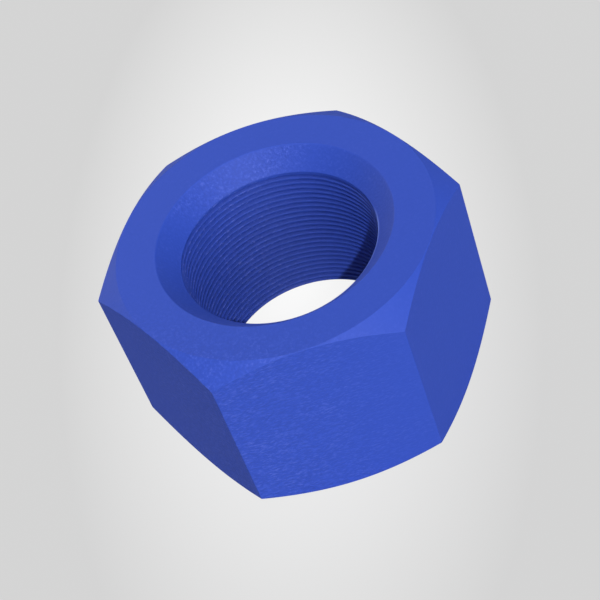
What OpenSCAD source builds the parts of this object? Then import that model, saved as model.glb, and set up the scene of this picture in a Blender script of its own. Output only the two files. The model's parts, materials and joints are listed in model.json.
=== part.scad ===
// Heavy hex nut for a large flange stud.
// It stands on one face: the bore runs along +Z and the origin is at the centre of the lower face.
// Two corners of the hexagon lie on the X axis, and two flats face along the Y axis.

/* [Hexagon] */
// Width across flats
across_flats = 149.5; // [140:0.5:170]
// Thickness from face to face
thickness = 96; // [70:0.5:120]

/* [Corner chamfers] */
// Slope of the chamfer at each end, measured from the face
chamfer_angle = 35; // [20:1:45]
// How far the round face at each end stays inside the flats
face_inset = 0.25; // [0.1:0.05:3]

/* [Thread] */
// Nominal diameter of the stud that the nut fits
thread_d = 95.25; // [70:0.25:100]
// Pitch of the thread
pitch = 3.175; // [1.5:0.005:6]
// How much wider the bore is than the basic minor diameter of the thread
minor_allowance = 0.39; // [0:0.01:0.6]

/* [Countersinks] */
// Width of the countersink at each face
countersink_d = 111.5; // [104:0.5:125]
// Included angle of the countersink
countersink_angle = 90; // [60:1:120]

/* [Colour] */
// Colour of the coating
coating_colour = "royalblue"; // ["royalblue", "steelblue", "dimgray", "silver"]

/* [Hidden] */

// A cut reaches this far past the face that it opens
overshoot = 5;
// Facets of the quick views, not of the real curves
round_fn = 180;

// Hexagon, from its centre to a flat and to a corner
flat_r = across_flats / 2;
corner_r = flat_r / cos(30);

// Round face at each end, and the depth of the chamfer at the corners
face_r = flat_r - face_inset;
chamfer_slope = tan(chamfer_angle);
chamfer_depth = (corner_r - face_r) * chamfer_slope;

// A 60 degree thread of this pitch takes 1.0825 pitches off the nominal diameter
minor_ratio = 5 / 8 * sqrt(3);
bore_r = (thread_d - minor_ratio * pitch + minor_allowance) / 2;

// Countersink, from the face down to the bore
countersink_r = countersink_d / 2;
countersink_slope = tan(countersink_angle / 2);
countersink_depth = (countersink_r - bore_r) / countersink_slope;

// Sharp-edged hexagonal bar, cut to length
module hex_bar() {
    cylinder(h = thickness, r = corner_r, $fn = 6);
}

// Half section of the turned blank: a cylinder outside the corners, with a chamfer at each end
module turned_section() {
    outer_r = corner_r + overshoot;
    end_drop = (outer_r - face_r) * chamfer_slope;
    polygon([
        [0, 0],
        [face_r, 0],
        [outer_r, end_drop],
        [outer_r, thickness - end_drop],
        [face_r, thickness],
        [0, thickness]
    ]);
}

// Half section of all that is bored out: both countersinks and the bore between them
module bore_section() {
    mouth_r = countersink_r + overshoot * countersink_slope;
    polygon([
        [0, -overshoot],
        [mouth_r, -overshoot],
        [bore_r, countersink_depth],
        [bore_r, thickness - countersink_depth],
        [mouth_r, thickness + overshoot],
        [0, thickness + overshoot]
    ]);
}

// The nut: a forged hexagon, chamfered at both ends, bored and countersunk
module hex_nut() {
    color(coating_colour)
    difference() {
        intersection() {
            hex_bar();
            rotate_extrude($fn = round_fn) turned_section();
        }
        rotate_extrude($fn = round_fn) bore_section();
    }
}

hex_nut();
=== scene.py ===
import json
import math

import bmesh
import bpy
from mathutils import Matrix, Vector


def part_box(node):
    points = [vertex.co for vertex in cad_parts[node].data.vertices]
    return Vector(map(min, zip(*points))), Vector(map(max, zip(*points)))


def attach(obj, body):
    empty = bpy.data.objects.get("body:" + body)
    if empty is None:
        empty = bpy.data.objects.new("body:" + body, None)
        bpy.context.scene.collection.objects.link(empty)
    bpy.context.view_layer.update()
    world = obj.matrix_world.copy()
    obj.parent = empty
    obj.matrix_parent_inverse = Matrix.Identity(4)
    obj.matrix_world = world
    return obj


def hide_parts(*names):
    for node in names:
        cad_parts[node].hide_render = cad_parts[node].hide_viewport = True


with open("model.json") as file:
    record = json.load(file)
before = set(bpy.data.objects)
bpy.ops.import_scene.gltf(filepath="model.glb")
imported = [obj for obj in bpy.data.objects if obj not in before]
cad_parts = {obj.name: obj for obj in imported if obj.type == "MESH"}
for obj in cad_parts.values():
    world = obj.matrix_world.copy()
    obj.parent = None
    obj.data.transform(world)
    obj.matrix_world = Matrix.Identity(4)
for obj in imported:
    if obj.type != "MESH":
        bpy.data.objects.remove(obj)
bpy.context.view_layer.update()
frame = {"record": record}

MM = 0.001

# Sizes of the nut, read from the frame
high_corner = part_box("hex_nut")[1]
MOUNTS = {mount["name"]: mount for mount in frame["record"]["mounts"]}
FLAT_R = high_corner.y
CORNER_R = FLAT_R / math.cos(math.pi / 6)
THICKNESS = high_corner.z
BORE_R = MOUNTS["stud_thread"]["dims"]["r_mm"] * MM
BORE_LENGTH = MOUNTS["stud_thread"]["dims"]["length_mm"] * MM

# Sizes that the frame doesn't state
FACE_INSET = 0.25 * MM
CHAMFER_ANGLE = math.radians(35)
COUNTERSINK_ANGLE = math.radians(90)
THREAD_D = 95.25 * MM
PITCH = 3.175 * MM
FLANK_ANGLE = math.radians(30)

# Height of the middle of one crest, on the +X side of the bore
CREST_HEIGHT = 1.95 * MM

# The thread starts this far past each countersink, and deepens at this slope
THREAD_SET_BACK = 0.5 * MM
RUN_OUT_SLOPE = 1.5

# The threading tool stays this far inside the bore where it cuts nothing
CLEARANCE = 0.1 * MM

# Worked out from the sizes above
FACE_R = FLAT_R - FACE_INSET
COUNTERSINK_DEPTH = (THICKNESS - BORE_LENGTH) / 2
COUNTERSINK_R = BORE_R + COUNTERSINK_DEPTH * math.tan(COUNTERSINK_ANGLE / 2)
ROOT_R = THREAD_D / 2
NUT_CENTRE = Vector((0, 0, THICKNESS / 2))

# Edges of the coated nut, as lengths cut back from each sharp edge
CORNER_ROUND = 0.35 * MM
ARC_ROUND = 0.12 * MM
FACE_ROUND = 0.10 * MM
MOUTH_ROUND = 0.30 * MM
LIP_ROUND = 0.4 * MM
THREAD_ROUND = 0.12 * MM

# Rounded edge of a crest, as shares of THREAD_ROUND outwards and upwards from the sharp edge
ROUNDED_EDGE = ((0.232, -0.134), (0.866, 0.5))

# How far from the bore's wall the first stretch of that rounded edge turns
FIRST_STRETCH = math.radians(15)

# Steps around a full turn
TURNED_STEPS = 240
THREAD_STEPS = 240

# Tools reach this far past what they cut
OVERSHOOT = 5 * MM

# The threading tool starts this many turns below the crest at CREST_HEIGHT
TURNS_BELOW = 5

# How close points, the seams between turns, radii and slopes have to be to count as the same
SAME_POINT = 0.0005 * MM
SAME_SEAM = 0.002 * MM
SAME_RADIUS = 0.01 * MM
SAME_SLOPE = 0.02

# Colours of the coating
COAT = (0.0249, 0.0758, 0.534, 1)
# The countersink a little darker than the coat: painted shade in the countersink
COUNTERSINK_COAT_PAINTED_SHADE = (0.0235, 0.0722, 0.505, 1)
CREST = (0.028, 0.080, 0.52, 1)
CREST_DULL = (0.0225, 0.066, 0.45, 1)
# Grooves of the thread darker than the crests: painted shade in the grooves
GROOVE_PAINTED_SHADE = (0.0215, 0.062, 0.43, 1)
# A pale line on the bore's lip towards +X and -Y: a painted highlight
LIP_PAINTED_HIGHLIGHT = (0.16, 0.25, 0.82, 1)

# Finish of the coating
COAT_ROUGHNESS = 0.62
COAT_SPECULAR = 0.42

# Grain of the coating: how deep it is, how far its colour strays, and the colour of the painted glints
# on it
GRAIN_DEPTH = 0.45 * MM
MOTTLE = 0.09
PAINTED_GLINT = (0.095, 0.15, 0.63, 1)

# Noises in the coating: width and height of their features, detail, and seed
WEAR_NOISE = (6 * MM, 1.5 * MM, 2, 3)
CREST_GLINT_NOISE = (1.6 * MM, 0.8 * MM, 1, 9)
WRINKLE_NOISE = (2.0 * MM, 0.8 * MM, 2, 5)
PITTING_NOISE = (1.4 * MM, 1.4 * MM, 2, 7)
PATCH_NOISE = (14 * MM, 14 * MM, 2, 17)
NOISE_ROUGHNESS = 0.55

# Painted glints on crests and coarse grain: a range of places, and the strength at its two ends
CREST_GLINT_SIDE = (-20 * MM, 10 * MM, 0.8, 0)
NEAR_GRAIN = (-95 * MM, -45 * MM, 1.1, 0.2)
FAR_GRAIN = (38 * MM, 48 * MM, 0.3, 0.75)

# Background of the photograph: grey, with an oval of white behind the nut
WHITE = (1, 1, 1, 1)
BACKGROUND = (0.664, 0.664, 0.664, 1)
GLOW_CENTRE = (-0.003, 0.079, 0)
GLOW_REACH = (0.126, 0.298, 1)
GLOW_TURN = math.radians(-7.8)

# Floor: its size in metres, its own grey, and how much of the background covers it
FLOOR_SIZE = 6
FLOOR_GREY = (0.7, 0.7, 0.7, 1)
FLOOR_COVERED = 0.97

# What the coating mirrors faintly, above and below
STUDIO_GLOSS = (1, 1, 1, 1)
FLOOR_GLOSS = (0.12, 0.12, 0.12, 1)

# How that above brightens: a range of heights, and the strength at its two ends
GLOSS_RISE = (0, 0.5, 0.75, 1)

# Strength of the light that comes evenly from all around
WORLD_LIGHT = 0.01

# Lamps: name, azimuth, elevation and spread in degrees, and strength
LAMPS = (
    ("key_light", 280, 44.6, 1.2, 1.465),
    ("front_light", 291, 8, 50, 1.741),
    ("top_light", 280, 85, 50, 0.918),
    ("back_light", 127, 22, 50, 0.757),
)

# Camera of the photograph, turning about the centre of the nut
VIEW_AZIMUTH = math.radians(4.92)
VIEW_ELEVATION = math.radians(46.0)
VIEW_ROLL = math.radians(-21.3)
VIEW_DISTANCE = 855.5 * MM
LENS = 109.5
SENSOR = 36


def make_object(name, bm):
    """An object at the origin from a finished bmesh, which is freed."""
    mesh = bpy.data.meshes.new(name)
    bm.to_mesh(mesh)
    bm.free()
    obj = bpy.data.objects.new(name, mesh)
    bpy.context.scene.collection.objects.link(obj)
    return obj


def section(points, closed):
    """A bmesh that holds the outline through (radius, height) points."""
    bm = bmesh.new()
    corners = [bm.verts.new((radius, 0, height)) for radius, height in points]
    for start, end in zip(corners, corners[1:]):
        bm.edges.new((start, end))
    if closed:
        bm.edges.new((corners[-1], corners[0]))
    return bm


def round_corners(bm, radius, size, segments):
    """Rounds the corners of an outline that lie at one radius, before it is turned."""
    corners = [corner for corner in bm.verts if abs(corner.co.x - radius) < SAME_RADIUS]
    bmesh.ops.bevel(
        bm,
        geom=corners,
        offset=size,
        offset_type="OFFSET",
        segments=segments,
        profile=0.5,
        affect="VERTICES",
        material=-1,
    )


def round_edges(bm, edges, size, segments):
    """Rounds edges of a solid."""
    bmesh.ops.bevel(
        bm,
        geom=edges,
        offset=size,
        offset_type="OFFSET",
        segments=segments,
        profile=0.5,
        affect="EDGES",
        material=-1,
    )


def sweep(bm, steps, rise, join_ends):
    """Takes an outline once around the axis of the nut, and up by the rise."""
    bmesh.ops.spin(
        bm,
        geom=bm.verts[:] + bm.edges[:],
        cent=(0, 0, 0),
        axis=(0, 0, 1),
        dvec=(0, 0, rise / steps),
        angle=math.tau,
        steps=steps,
        use_merge=join_ends,
    )


def close_up(bm):
    """Merges doubles and turns all faces outwards."""
    bmesh.ops.remove_doubles(bm, verts=bm.verts, dist=SAME_POINT)
    bmesh.ops.recalc_face_normals(bm, faces=bm.faces)


def turned_blank():
    """The nut as it leaves the lathe: faced, chamfered, bored and countersunk."""
    outer_r = CORNER_R + OVERSHOOT
    outer_drop = (outer_r - FACE_R) * math.tan(CHAMFER_ANGLE)
    outline = [
        (BORE_R, COUNTERSINK_DEPTH),
        (COUNTERSINK_R, 0),
        (FACE_R, 0),
        (outer_r, outer_drop),
        (outer_r, THICKNESS - outer_drop),
        (FACE_R, THICKNESS),
        (COUNTERSINK_R, THICKNESS),
        (BORE_R, THICKNESS - COUNTERSINK_DEPTH),
    ]
    bm = section(outline, closed=True)
    round_corners(bm, COUNTERSINK_R, MOUTH_ROUND, 3)
    round_corners(bm, FACE_R, FACE_ROUND, 2)
    round_corners(bm, BORE_R, LIP_ROUND, 3)
    sweep(bm, TURNED_STEPS, 0, join_ends=True)
    close_up(bm)
    return make_object("turned_blank", bm)


def hexagonal_bar():
    """Bar stock with its six long corners a little rounded."""
    bm = bmesh.new()
    place = Matrix.Translation(NUT_CENTRE) @ Matrix.Rotation(math.radians(30), 4, "Z")
    bmesh.ops.create_cone(
        bm,
        cap_ends=True,
        segments=6,
        radius1=CORNER_R,
        radius2=CORNER_R,
        depth=THICKNESS + 2 * OVERSHOOT,
        matrix=place,
    )
    long_edges = [e for e in bm.edges if abs(e.verts[0].co.z - e.verts[1].co.z) > THICKNESS / 2]
    round_edges(bm, long_edges, CORNER_ROUND, 4)
    close_up(bm)
    return make_object("hexagonal_bar", bm)


def tap_outline():
    """One side of the threading tool, groove over groove, from below the nut to above it."""
    root_width = PITCH / 8
    crest_width = PITCH - root_width - 2 * (ROOT_R - BORE_R) * math.tan(FLANK_ANGLE)
    flank_height = (PITCH - root_width - crest_width) / 2
    groove = 2 * flank_height + root_width
    edge = [(BORE_R - CLEARANCE, -THREAD_ROUND - CLEARANCE / math.tan(FIRST_STRETCH))]
    for outward, upward in ROUNDED_EDGE:
        edge.append((BORE_R + outward * THREAD_ROUND, upward * THREAD_ROUND))
    foot = CREST_HEIGHT + crest_width / 2 - TURNS_BELOW * PITCH
    turns = math.ceil((THICKNESS + 4 * OVERSHOOT) / PITCH) + 1
    points = []
    for turn in range(turns):
        start = foot + turn * PITCH
        points += [(radius, start + height) for radius, height in edge]
        points.append((ROOT_R, start + flank_height))
        points.append((ROOT_R, start + flank_height + root_width))
        points += [(radius, start + groove - height) for radius, height in reversed(edge)]
    points.append((edge[0][0], foot + turns * PITCH + edge[0][1]))
    return points


def run_out(bm):
    """Lets the grooves of the threading tool fade out before the countersinks."""
    for corner in bm.verts:
        past_end = min(corner.co.z, THICKNESS - corner.co.z) - COUNTERSINK_DEPTH - THREAD_SET_BACK
        deepest = BORE_R + max(-CLEARANCE, past_end * RUN_OUT_SLOPE)
        radius = corner.co.xy.length
        if radius > deepest:
            corner.co.xy *= deepest / radius


def cut_to_length(bm):
    """Cuts the threading tool off past both ends of the nut, and closes it there."""
    for height, side in ((-OVERSHOOT / 2, -1), (THICKNESS + OVERSHOOT / 2, 1)):
        cut = bmesh.ops.bisect_plane(
            bm,
            geom=bm.verts[:] + bm.edges[:] + bm.faces[:],
            plane_co=(0, 0, height),
            plane_no=(0, 0, side),
            clear_outer=True,
        )
        rim = [e for e in cut["geom_cut"] if isinstance(e, bmesh.types.BMEdge)]
        bmesh.ops.edgeloop_fill(bm, edges=rim)


def threaded_plug():
    """What the tap takes out: a right-hand ridge on a rod that clears the bore, longer than the nut."""
    bm = section(tap_outline(), closed=False)
    sweep(bm, THREAD_STEPS, PITCH, join_ends=False)
    bmesh.ops.remove_doubles(bm, verts=bm.verts, dist=SAME_SEAM)
    run_out(bm)
    cut_to_length(bm)
    close_up(bm)
    return make_object("threaded_plug", bm)


def combine(target, tool, operation):
    """Cuts or intersects target with tool, keeps the result in target and removes tool."""
    boolean = target.modifiers.new(operation.lower(), "BOOLEAN")
    boolean.object = tool
    boolean.operation = operation
    boolean.solver = "EXACT"
    depsgraph = bpy.context.evaluated_depsgraph_get()
    result = bpy.data.meshes.new_from_object(target.evaluated_get(depsgraph))
    target.modifiers.clear()
    target.data = result
    bpy.data.objects.remove(tool)


def round_arcs(obj):
    """Rounds the curved edges where the hexagon's sides meet the two end chamfers."""
    bm = bmesh.new()
    bm.from_mesh(obj.data)
    bm.normal_update()
    chamfer_rise = math.cos(CHAMFER_ANGLE)
    arcs = []
    for edge in bm.edges:
        if len(edge.link_faces) == 2:
            rises = sorted(abs(face.normal.z) for face in edge.link_faces)
            outside = edge.verts[0].co.xy.length > FACE_R
            if outside and rises[0] < SAME_SLOPE and abs(rises[1] - chamfer_rise) < SAME_SLOPE:
                arcs.append(edge)
    round_edges(bm, arcs, ARC_ROUND, 3)
    close_up(bm)
    bm.to_mesh(obj.data)
    bm.free()


nut = turned_blank()
combine(nut, hexagonal_bar(), "INTERSECT")
round_arcs(nut)
combine(nut, threaded_plug(), "DIFFERENCE")
nut.name = "coated_nut"
nut.data.name = "coated_nut"
nut.data.shade_smooth()
nut.data.set_sharp_from_angle(angle=math.radians(30))
weighted = nut.modifiers.new("weighted", "WEIGHTED_NORMAL")
weighted.keep_sharp = True
weighted.weight = 50
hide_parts("hex_nut")
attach(nut, "root")


def wire(links, value, socket):
    """Feeds a socket from another socket, or sets it to a number."""
    if isinstance(value, bpy.types.NodeSocket):
        links.new(value, socket)
    else:
        socket.default_value = value


def calculate(tree, operation, first, second=0.0, third=0.0):
    """A Math node's result."""
    node = tree.nodes.new("ShaderNodeMath")
    node.operation = operation
    wire(tree.links, first, node.inputs[0])
    wire(tree.links, second, node.inputs[1])
    wire(tree.links, third, node.inputs[2])
    return node.outputs[0]


def ramp(tree, value, low, high, low_out=0.0, high_out=1.0):
    """Value taken smoothly from one range to another."""
    node = tree.nodes.new("ShaderNodeMapRange")
    node.interpolation_type = "SMOOTHSTEP"
    wire(tree.links, value, node.inputs["Value"])
    node.inputs["From Min"].default_value = low
    node.inputs["From Max"].default_value = high
    node.inputs["To Min"].default_value = low_out
    node.inputs["To Max"].default_value = high_out
    return node.outputs["Result"]


def mix_colours(tree, factor, first, second):
    """A blend of two colours."""
    node = tree.nodes.new("ShaderNodeMix")
    node.data_type = "RGBA"
    wire(tree.links, factor, node.inputs[0])
    wire(tree.links, first, node.inputs[6])
    wire(tree.links, second, node.inputs[7])
    return node.outputs[2]


def mix_shaders(tree, factor, first, second):
    """A blend of two shaders."""
    node = tree.nodes.new("ShaderNodeMixShader")
    tree.links.new(factor, node.inputs[0])
    tree.links.new(first, node.inputs[1])
    tree.links.new(second, node.inputs[2])
    return node.outputs[0]


def noise(tree, place, wide, high, detail, seed):
    """Noise in the nut's own coordinates, with features so many metres wide and high."""
    mapping = tree.nodes.new("ShaderNodeMapping")
    mapping.inputs["Location"].default_value = (seed, seed, seed)
    mapping.inputs["Scale"].default_value = (1 / wide, 1 / wide, 1 / high)
    tree.links.new(place, mapping.inputs["Vector"])
    node = tree.nodes.new("ShaderNodeTexNoise")
    node.inputs["Scale"].default_value = 1.0
    node.inputs["Detail"].default_value = detail
    node.inputs["Roughness"].default_value = NOISE_ROUGHNESS
    tree.links.new(mapping.outputs["Vector"], node.inputs["Vector"])
    return node.outputs[0]


def nut_places(tree):
    """Sockets that tell where on the nut a point lies, and whether it faces up or down."""
    coordinates = tree.nodes.new("ShaderNodeTexCoord")
    split = tree.nodes.new("ShaderNodeSeparateXYZ")
    tree.links.new(coordinates.outputs["Object"], split.inputs[0])
    facing = tree.nodes.new("ShaderNodeSeparateXYZ")
    tree.links.new(coordinates.outputs["Normal"], facing.inputs[0])
    across = calculate(tree, "MULTIPLY", split.outputs["X"], split.outputs["X"])
    squared = calculate(tree, "MULTIPLY_ADD", split.outputs["Y"], split.outputs["Y"], across)
    radius = calculate(tree, "SQRT", squared)
    from_top = calculate(tree, "SUBTRACT", THICKNESS, split.outputs["Z"])
    return {
        "point": coordinates.outputs["Object"],
        "x": split.outputs["X"],
        "y": split.outputs["Y"],
        "radius": radius,
        "from_end": calculate(tree, "MINIMUM", from_top, split.outputs["Z"]),
        "level": ramp(tree, calculate(tree, "ABSOLUTE", facing.outputs["Z"]), 0.2, 0.5),
        "in_cone": ramp(tree, radius, COUNTERSINK_R - 0.8 * MM, COUNTERSINK_R, 1, 0),
    }


def thread_mask(tree, at):
    """One on the thread, and zero outside the bore."""
    along_cone = calculate(tree, "ADD", at["radius"], at["from_end"])
    behind_cone = calculate(tree, "SUBTRACT", along_cone, COUNTERSINK_R)
    below_cone = ramp(tree, behind_cone, 0.03 * MM, 0.12 * MM)
    within = ramp(tree, at["radius"], ROOT_R + 0.1 * MM, ROOT_R + 0.3 * MM, 1, 0)
    return calculate(tree, "MULTIPLY", below_cone, within)


def thread_colour_and_shade(tree, at):
    """Crests that are duller in places, with painted glints on them towards -X, and grooves darkened by
    painted shade.
    """
    worn = ramp(tree, noise(tree, at["point"], *WEAR_NOISE), 0.3, 0.7)
    crest = mix_colours(tree, worn, CREST_DULL, CREST)
    # Painted glints: pale spots on crests towards -X
    glint_spots = ramp(tree, noise(tree, at["point"], *CREST_GLINT_NOISE), 0.56, 0.68)
    crest_glints = calculate(tree, "MULTIPLY", glint_spots, ramp(tree, at["x"], *CREST_GLINT_SIDE))
    crest = mix_colours(tree, crest_glints, crest, PAINTED_GLINT)
    # Painted shade: darker with depth into the grooves
    groove = ramp(tree, at["radius"], BORE_R + 0.05 * MM, BORE_R + 0.6 * MM)
    return mix_colours(tree, groove, crest, GROOVE_PAINTED_SHADE)


def lip_highlight_mask(tree, at):
    """One on the lip of the bore towards +X and -Y, where a pale highlight is painted."""
    away = tree.nodes.new("ShaderNodeCombineXYZ")
    tree.links.new(calculate(tree, "SUBTRACT", at["radius"], BORE_R), away.inputs[0])
    tree.links.new(calculate(tree, "SUBTRACT", at["from_end"], COUNTERSINK_DEPTH), away.inputs[1])
    reach = tree.nodes.new("ShaderNodeVectorMath")
    reach.operation = "LENGTH"
    tree.links.new(away.outputs[0], reach.inputs[0])
    on_lip = ramp(tree, reach.outputs["Value"], 0.7 * MM, 1.5 * MM, 1, 0)
    near_right = calculate(tree, "MULTIPLY_ADD", at["y"], -0.6, at["x"])
    side = ramp(tree, near_right, 0.93 * BORE_R, 1.08 * BORE_R)
    return calculate(tree, "MULTIPLY", on_lip, side)


def grain_height(tree, at):
    """Wrinkles that lie along the sides, and fine pitting elsewhere."""
    node = tree.nodes.new("ShaderNodeMix")
    tree.links.new(at["level"], node.inputs[0])
    tree.links.new(noise(tree, at["point"], *WRINKLE_NOISE), node.inputs[2])
    tree.links.new(noise(tree, at["point"], *PITTING_NOISE), node.inputs[3])
    return node.outputs[0]


def grain_strength(tree, at, thread):
    """Coarse towards -X and -Y and on the +Y side of the countersinks, and fine elsewhere."""
    diagonal = calculate(tree, "MULTIPLY_ADD", at["x"], 0.6, at["y"])
    less_on_top = calculate(tree, "MULTIPLY_ADD", at["level"], -0.35, 1.0)
    near = calculate(tree, "MULTIPLY", ramp(tree, diagonal, *NEAR_GRAIN), less_on_top)
    far_left = calculate(tree, "MULTIPLY_ADD", at["x"], -0.25, at["y"])
    change = calculate(tree, "SUBTRACT", ramp(tree, far_left, *FAR_GRAIN), near)
    either = calculate(tree, "MULTIPLY_ADD", at["in_cone"], change, near)
    less_in_thread = calculate(tree, "MULTIPLY_ADD", thread, -0.6, 1.0)
    return calculate(tree, "MULTIPLY", either, less_in_thread)


def mottled_with_glints(tree, at, base_with_painted_light, grain, coarse):
    """The colour with the tops of the grain a little paler, and painted glints in patches."""
    mottle = tree.nodes.new("ShaderNodeVectorMath")
    mottle.operation = "SCALE"
    tree.links.new(base_with_painted_light, mottle.inputs[0])
    shade = ramp(tree, grain, 0.3, 0.7, -MOTTLE, MOTTLE)
    tree.links.new(calculate(tree, "MULTIPLY_ADD", shade, coarse, 1.0), mottle.inputs["Scale"])
    patch = ramp(tree, noise(tree, at["point"], *PATCH_NOISE), 0.35, 0.65, 0.3, 0.8)
    # Painted glints on the highest points of the coarse grain
    glint = calculate(tree, "MULTIPLY", ramp(tree, grain, 0.5, 0.8), coarse)
    return mix_colours(tree, calculate(tree, "MULTIPLY", glint, patch), mottle.outputs[0], PAINTED_GLINT)


def coating_material():
    """Matt blue coating with a fine grain, darker in the thread with painted shade in its grooves and
    the countersink, a painted highlight on the bore's lip, and painted glints on the grain and crests.
    """
    material = bpy.data.materials.new("blue_coating")
    material.use_nodes = True
    tree = material.node_tree
    shader = tree.nodes["Principled BSDF"]
    shader.inputs["Roughness"].default_value = COAT_ROUGHNESS
    shader.inputs["Specular IOR Level"].default_value = COAT_SPECULAR

    at = nut_places(tree)
    thread = thread_mask(tree, at)
    # The coat, with painted shade making it a little darker in the countersink
    coat_with_countersink_shade = mix_colours(tree, at["in_cone"], COAT, COUNTERSINK_COAT_PAINTED_SHADE)
    # Colour with painted shade in the thread and countersink, then a painted highlight on the lip
    base_with_painted_light = mix_colours(tree, thread, coat_with_countersink_shade, thread_colour_and_shade(tree, at))
    base_with_painted_light = mix_colours(tree, lip_highlight_mask(tree, at), base_with_painted_light, LIP_PAINTED_HIGHLIGHT)

    grain = grain_height(tree, at)
    coarse = grain_strength(tree, at, thread)
    tree.links.new(mottled_with_glints(tree, at, base_with_painted_light, grain, coarse), shader.inputs["Base Color"])

    bump = tree.nodes.new("ShaderNodeBump")
    bump.inputs["Strength"].default_value = 1.0
    bump.inputs["Distance"].default_value = GRAIN_DEPTH
    tree.links.new(calculate(tree, "MULTIPLY", grain, coarse), bump.inputs["Height"])
    tree.links.new(bump.outputs[0], shader.inputs["Normal"])
    return material


nut.data.materials.clear()
nut.data.materials.append(coating_material())


def seen_directly(tree):
    """One for the rays that see the background itself: from the camera and through glass."""
    path = tree.nodes.new("ShaderNodeLightPath")
    return calculate(tree, "MAXIMUM", path.outputs["Is Camera Ray"], path.outputs["Is Transmission Ray"])


def glow_shade(tree):
    """Background grey that turns white in an oval on the floor behind the nut."""
    mapping = tree.nodes.new("ShaderNodeMapping")
    mapping.vector_type = "TEXTURE"
    mapping.inputs["Location"].default_value = GLOW_CENTRE
    mapping.inputs["Rotation"].default_value = (0, 0, GLOW_TURN)
    mapping.inputs["Scale"].default_value = GLOW_REACH
    place = tree.nodes.new("ShaderNodeTexCoord").outputs["Object"]
    tree.links.new(place, mapping.inputs["Vector"])
    fade = tree.nodes.new("ShaderNodeTexGradient")
    fade.gradient_type = "SPHERICAL"
    tree.links.new(mapping.outputs["Vector"], fade.inputs["Vector"])
    return mix_colours(tree, fade.outputs[1], BACKGROUND, WHITE)


def floor_material():
    """Pale floor, white behind the nut and light grey further out, that keeps the shadow."""
    material = bpy.data.materials.new("floor")
    material.use_nodes = True
    tree = material.node_tree
    shader = tree.nodes["Principled BSDF"]
    shader.inputs["Base Color"].default_value = FLOOR_GREY
    shader.inputs["Roughness"].default_value = 1.0
    shader.inputs["Specular IOR Level"].default_value = 0.0
    glossy = tree.nodes.new("ShaderNodeLightPath").outputs["Is Glossy Ray"]
    glow = tree.nodes.new("ShaderNodeEmission")
    tree.links.new(mix_colours(tree, glossy, glow_shade(tree), FLOOR_GLOSS), glow.inputs["Color"])
    seen = calculate(tree, "MULTIPLY", seen_directly(tree), FLOOR_COVERED)
    glowing = calculate(tree, "MAXIMUM", seen, glossy)
    surface = mix_shaders(tree, glowing, shader.outputs[0], glow.outputs[0])
    tree.links.new(surface, tree.nodes["Material Output"].inputs["Surface"])
    return material


def studio_world():
    """Almost no light of its own, background grey where it is seen, and paler where it is mirrored."""
    world = bpy.data.worlds.new("studio")
    world.use_nodes = True
    tree = world.node_tree
    light = tree.nodes["Background"]
    light.inputs["Color"].default_value = WHITE
    light.inputs["Strength"].default_value = WORLD_LIGHT
    backdrop = tree.nodes.new("ShaderNodeBackground")
    backdrop.inputs["Color"].default_value = BACKGROUND
    gloss = tree.nodes.new("ShaderNodeBackground")
    gloss.inputs["Color"].default_value = STUDIO_GLOSS
    upward = tree.nodes.new("ShaderNodeSeparateXYZ")
    tree.links.new(tree.nodes.new("ShaderNodeTexCoord").outputs["Generated"], upward.inputs[0])
    tree.links.new(ramp(tree, upward.outputs["Z"], *GLOSS_RISE), gloss.inputs["Strength"])
    path = tree.nodes.new("ShaderNodeLightPath")
    lit = mix_shaders(tree, path.outputs["Is Glossy Ray"], light.outputs[0], gloss.outputs[0])
    surface = mix_shaders(tree, seen_directly(tree), lit, backdrop.outputs[0])
    tree.links.new(surface, tree.nodes["World Output"].inputs["Surface"])
    return world


def sun(name, azimuth, elevation, spread, strength):
    """Light from far off, towards the nut from the azimuth and elevation given in degrees."""
    lamp = bpy.data.lights.new(name, "SUN")
    lamp.angle = math.radians(spread)
    lamp.energy = strength
    around = math.radians(azimuth)
    up = math.radians(elevation)
    toward = Vector((math.cos(around) * math.cos(up), math.sin(around) * math.cos(up), math.sin(up)))
    obj = bpy.data.objects.new(name, lamp)
    obj.location = toward
    obj.rotation_euler = toward.to_track_quat("Z", "Y").to_euler()
    bpy.context.scene.collection.objects.link(obj)


def photo_camera():
    """Camera where the photograph was taken from, looking at the centre of the nut."""
    lens = bpy.data.cameras.new("camera")
    lens.lens = LENS
    lens.sensor_width = SENSOR
    camera = bpy.data.objects.new("camera", lens)
    bpy.context.scene.collection.objects.link(camera)
    outward = Vector((
        math.sin(VIEW_AZIMUTH) * math.cos(VIEW_ELEVATION),
        -math.cos(VIEW_AZIMUTH) * math.cos(VIEW_ELEVATION),
        math.sin(VIEW_ELEVATION),
    ))
    camera.location = NUT_CENTRE + outward * VIEW_DISTANCE
    upright = outward.to_track_quat("Z", "Y").to_matrix().to_4x4()
    turned = upright @ Matrix.Rotation(VIEW_ROLL, 4, "Z")
    camera.rotation_euler = turned.to_euler()
    return camera


bm = bmesh.new()
bmesh.ops.create_grid(bm, x_segments=1, y_segments=1, size=FLOOR_SIZE)
floor = make_object("floor", bm)
floor.data.materials.append(floor_material())

bpy.context.scene.world = studio_world()
for lamp in LAMPS:
    sun(*lamp)
bpy.context.scene.camera = photo_camera()
bpy.context.scene.view_settings.view_transform = "Standard"
